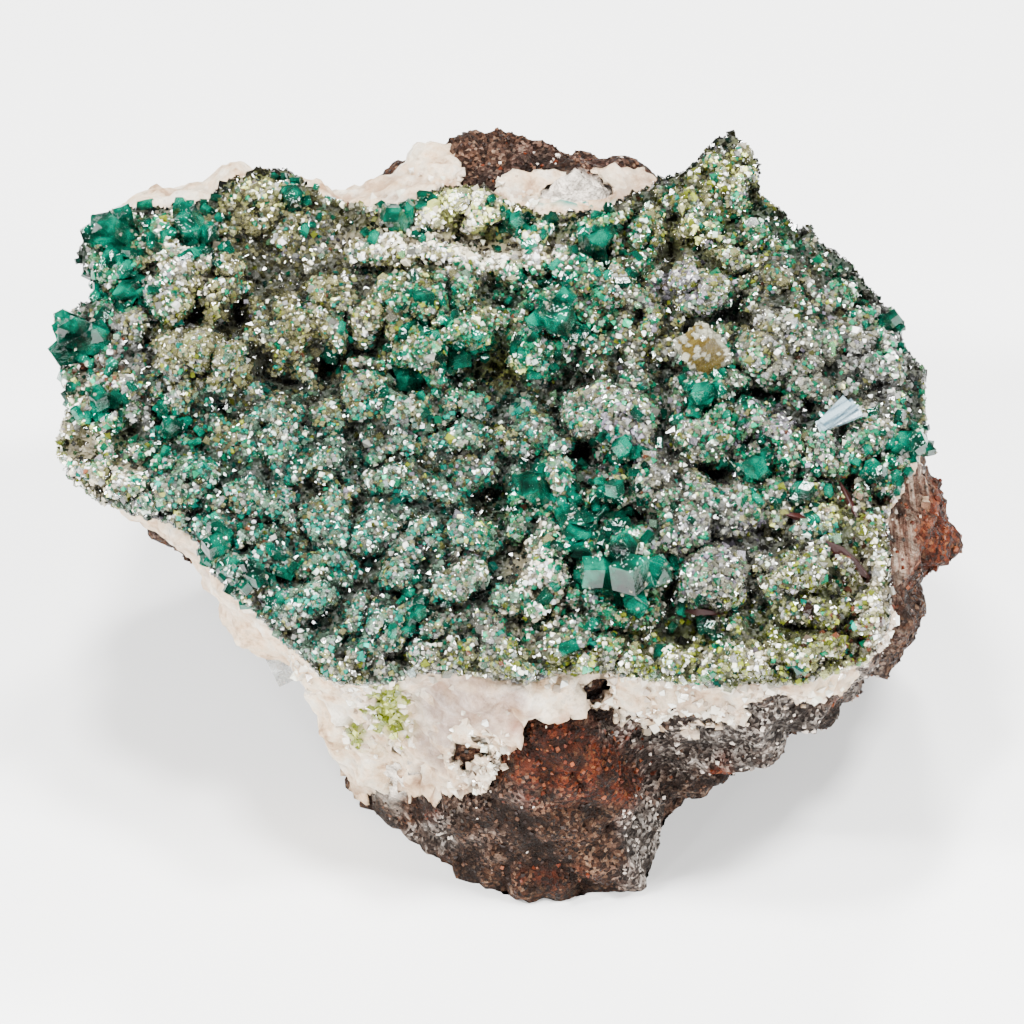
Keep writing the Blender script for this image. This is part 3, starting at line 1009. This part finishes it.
def dusting(draw):
    """Fine pale grains that sit on the larger crystals, most of them low down."""
    shapes = grain_shapes(draw)
    spots, normals, sizes = [], [], []
    for name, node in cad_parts.items():
        if not name.startswith(("dioptase", "ochre", "calcite_blade")):
            continue
        points, triangles = surface_of(node)
        low, high = points[:, 2].min(), points[:, 2].max()
        share, power, (least, most) = DUST[name.split("_")[0]]
        lowness = 0.01 + ((high - points[:, 2]) / (high - low)) ** power
        number = int(share * (high - low) ** 2)
        found = scattered(draw, points, triangles, lowness, number, partial(draw.uniform, least, most))
        spots.append(found[0])
        normals.append(found[1])
        sizes.append(found[2])
    spots, normals, sizes = (np.concatenate(part) for part in (spots, normals, sizes))
    tints = np.array([KINDS["grey"][2]]) * draw.uniform(*FINE_SHADES, (len(spots), 1))
    tints = np.minimum(tints, PALEST)
    piece = joined_grains("fine_grains", draw, shapes, spots, normals, sizes, tints, LOOSE_LEAN)
    wear(piece, grain_material("fine_grains", 0.7, 0.05, 1.55, 0.2), "crystal_crust")


def front_of(name):
    """A function that gives the depth n of a piece's front at a place on the face."""
    points, triangles = surface_of(bpy.data.objects[name])
    tree = BVHTree.FromPolygons([Vector(p) for p in points], [tuple(map(int, t)) for t in triangles])

    def depth(u, v):
        hit = tree.ray_cast(Vector((u, v, ABOVE)), Vector((0, 0, -1)))[0]
        return hit.z if hit else None

    return depth


def slivers(draw):
    """Thin red-brown splinters of rock caught in the crust."""
    depth = front_of("druse_ground")
    points, triangles, tints = [], [], []
    start = 0
    for u1, v1, u2, v2, width in SLIVERS:
        along = Vector((u2 - u1, v2 - v1, 0))
        across = Vector((-along.y, along.x, 0)).normalized() * width / 2
        corners = []
        for share, spread in SLIVER_PROFILE:
            spot = Vector((u1, v1, 0)) + along * share
            height = (depth(spot.x, spot.y) or 0.0) + SLIVER_LIFT
            for side in (-1, 1):
                for rise in (-SLIVER_THICKNESS, 0.0):
                    jitter = Vector(draw.uniform(-SLIVER_JITTER, SLIVER_JITTER, 3))
                    corners.append(spot + across * side * spread + Vector((0, 0, height + rise)) + jitter)
        shape, faces = hull_of(corners)
        points.append(shape)
        triangles.append(faces + start)
        tint = draw.uniform(*SLIVER_SHADES) * np.array(SLIVER_COLOUR)
        tints.append(np.tile(tint, (len(shape), 1)))
        start += len(shape)
    points, triangles, tints = (np.concatenate(part) for part in (points, triangles, tints))
    piece = build_mesh("red_slivers", place(points), triangles, tints)
    wear(piece, grain_material("red_slivers", 0.0, 0.45, 1.3, 0.0), "host_rock")


def surface_of(obj):
    """A piece's points in the face frame and its triangles."""
    obj.data.calc_loop_triangles()
    triangles = values_of(obj.data.loop_triangles, "vertices", 3, np.int32)
    return face_coordinates(points_of(obj)), triangles


def weights_of(obj, name):
    """A value that a piece keeps for each point."""
    return values_of(obj.data.attributes[name].data, "value", 1)[:, 0].astype(float)


def loose_grains(name, draw, obj, density, count, size_range, colour_of, look, slot):
    """Grains that stand out of a rough surface, denser where density is high."""
    points, triangles = surface_of(obj)
    ground = place(points)[:, 2] / MM
    density = np.where(ground < BARE_FOOT, 0.0, density)
    sizes = partial(draw.uniform, *size_range)
    spots, normals, size, _ = scattered(draw, points, triangles, density, count, sizes)
    nearest = nearest_points(points, spots)
    tints = colour_of(nearest) * draw.uniform(*LOOSE_SHADES, (len(spots), 1))
    tints = np.minimum(tints, PALEST)
    piece = joined_grains(name, draw, grain_shapes(draw), spots, normals, size, tints, LOOSE_LEAN)
    wear(piece, look, slot)


def nearest_points(points, spots):
    """The index of the point nearest to each spot."""
    tree = KDTree(len(points))
    for k, point in enumerate(points):
        tree.insert(point, k)
    tree.balance()
    return np.array([tree.find(spot)[1] for spot in spots])


def matrix_rock(draw):
    """The host rock and the vein with their broken surfaces."""
    coarser = 1.0
    tables = {"rust": RUST_PATCHES, "grey": GREY_PATCHES, "layers": LAYER_PATCHES, "chalk": CHALK_PATCHES}
    rock = rough_body("rock_surface", "host_rock", ROCK_VOXEL * coarser, rock_relief, tables)
    wear(rock, rock_material(), "host_rock", "host_rock")
    rust, grey, chalk = (weights_of(rock, key) for key in ("rust", "grey", "chalk"))

    def grit_colour(chosen):
        kind = draw.random(len(chosen))[:, None]
        plain = np.where(kind < 0.7, (0.012, 0.005, 0.003), (0.06, 0.028, 0.016))
        pale = np.where(kind < 0.6, (0.03, 0.024, 0.020), (0.42, 0.36, 0.31))
        red = np.where(kind < 0.65, (0.055, 0.010, 0.003), (0.115, 0.032, 0.012))
        mixed = plain + (pale - plain) * (draw.random(len(chosen)) < 0.03 + grey[chosen])[:, None]
        return mixed + (red - mixed) * (draw.random(len(chosen)) < rust[chosen])[:, None]

    cover = (HIDDEN_GRIT + (1 - HIDDEN_GRIT) * front_share(normals_of(rock))) * (chalk < 0.2)
    loose_grains(
        "rock_grit", draw, rock, cover, GRIT_COUNT, GRIT_SIZES,
        grit_colour, grain_material("rock_grit", 0.0, 0.4, 1.25, 0.0), "host_rock",
    )
    tables = {
        "rose": ROSE_PATCHES, "yellow": YELLOW_PATCHES, "hollow": HOLLOW_PATCHES, "teal": TEAL_PATCHES,
        "rust": RUST_PATCHES, "nugget": NUGGET_PATCHES,
    }
    vein = rough_body("vein_surface", "calcite_vein", VEIN_VOXEL * coarser, vein_relief, tables)
    wear(vein, vein_material(), "white_calcite", "calcite_vein")
    nuggets, yellow = weights_of(vein, "nugget"), weights_of(vein, "yellow")

    def nugget_colour(chosen):
        kind = draw.random(len(chosen))[:, None]
        cream = np.where(kind < 0.5, (0.85, 0.77, 0.63), (0.58, 0.46, 0.34))
        moss = np.where(kind < 0.6, (0.14, 0.17, 0.008), (0.40, 0.43, 0.08))
        return cream + (moss - cream) * (draw.random(len(chosen)) < yellow[chosen])[:, None]

    loose_grains(
        "vein_grains", draw, vein, np.maximum(nuggets, yellow), NUGGET_COUNT, NUGGET_SIZES,
        nugget_colour, grain_material("vein_grains", 0.3, 0.12, 1.55, 0.2), "white_calcite",
    )


def larger_crystals(green):
    """Materials for the crystals that are solids of their own."""
    looks = {
        "calcite_blade": stone_material("pale_calcite", (0.06, 0.11, 0.14), (0.30, 0.41, 0.46), 0.3, 1.6),
        "ochre_calcite": stone_material(
            "ochre_calcite", (0.070, 0.045, 0.006), (0.14, 0.10, 0.022), 0.5, 1.6
        ),
        "clear_chip": stone_material("clear_calcite", (0.75, 0.77, 0.76), (0.9, 0.92, 0.9), 0.9, 1.5),
    }
    for name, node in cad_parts.items():
        if name.startswith("dioptase"):
            look = green
        elif name in looks:
            look = looks[name]
        else:
            continue
        node.data.materials.clear()
        node.data.materials.append(look)


def softbox(name, place_mm, aim_mm, size_mm, power):
    """A rectangular soft light aimed at a point, all in millimetres."""
    light = bpy.data.lights.new(name, "AREA")
    light.shape = "RECTANGLE"
    light.size, light.size_y = size_mm[0] * MM, size_mm[1] * MM
    light.energy = power
    obj = bpy.data.objects.new(name, light)
    bpy.context.scene.collection.objects.link(obj)
    obj.location = Vector(place_mm) * MM
    way = Vector(aim_mm) * MM - obj.location
    obj.rotation_euler = way.to_track_quat("-Z", "Y").to_euler()


def studio():
    """A pale floor, soft light and the camera."""
    half = FLOOR_HALF_WIDTH
    floor = build_mesh(
        "floor",
        np.array([(-half, -half, 0), (half, -half, 0), (half, half, 0), (-half, half, 0)]),
        np.array([(0, 1, 2), (0, 2, 3)]),
    )
    m = Nodes("floor")
    pale = m.ramp(m.noise(60.0), (0.3, (0.80, 0.80, 0.79)), (0.7, (0.84, 0.84, 0.83)))
    m.set(Base_Color=pale, Roughness=0.8)
    floor.data.materials.append(m.material)

    for k, (x, y, z, power) in enumerate(SOFTBOXES):
        softbox(f"softbox_{k + 1}", (x, y, z), LIGHTS_AIM, SOFTBOX_SIZE, power)

    world = bpy.data.worlds.new("studio")
    bpy.context.scene.world = world
    world.use_nodes = True
    background = world.node_tree.nodes["Background"]
    background.inputs["Color"].default_value = AMBIENT_COLOUR
    background.inputs["Strength"].default_value = AMBIENT

    camera = bpy.data.cameras.new("camera")
    camera.lens, camera.sensor_width = LENS, SENSOR
    camera.clip_end = 10.0
    seen = bpy.data.objects.new("camera", camera)
    bpy.context.scene.collection.objects.link(seen)
    distance = VIEW_WIDTH * LENS / SENSOR
    u, v, n = VIEW_MIDDLE
    seen.location = at(u, v, n + distance)
    seen.rotation_euler = (math.radians(90) - FACE_RISE, 0, 0)
    bpy.context.scene.camera = seen


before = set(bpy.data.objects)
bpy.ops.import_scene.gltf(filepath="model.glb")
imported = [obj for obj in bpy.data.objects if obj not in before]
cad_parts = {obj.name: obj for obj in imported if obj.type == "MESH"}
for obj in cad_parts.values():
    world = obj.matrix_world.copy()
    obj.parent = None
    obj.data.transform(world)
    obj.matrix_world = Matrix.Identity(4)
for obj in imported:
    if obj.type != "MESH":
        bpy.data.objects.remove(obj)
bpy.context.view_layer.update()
noise.seed_set(NOISE_SEED)
chance = np.random.default_rng(CHANCE_SEED)
studio()
matrix_rock(chance)
emerald = dioptase_material()
druse(chance, emerald)
dusting(chance)
slivers(chance)
larger_crystals(emerald)
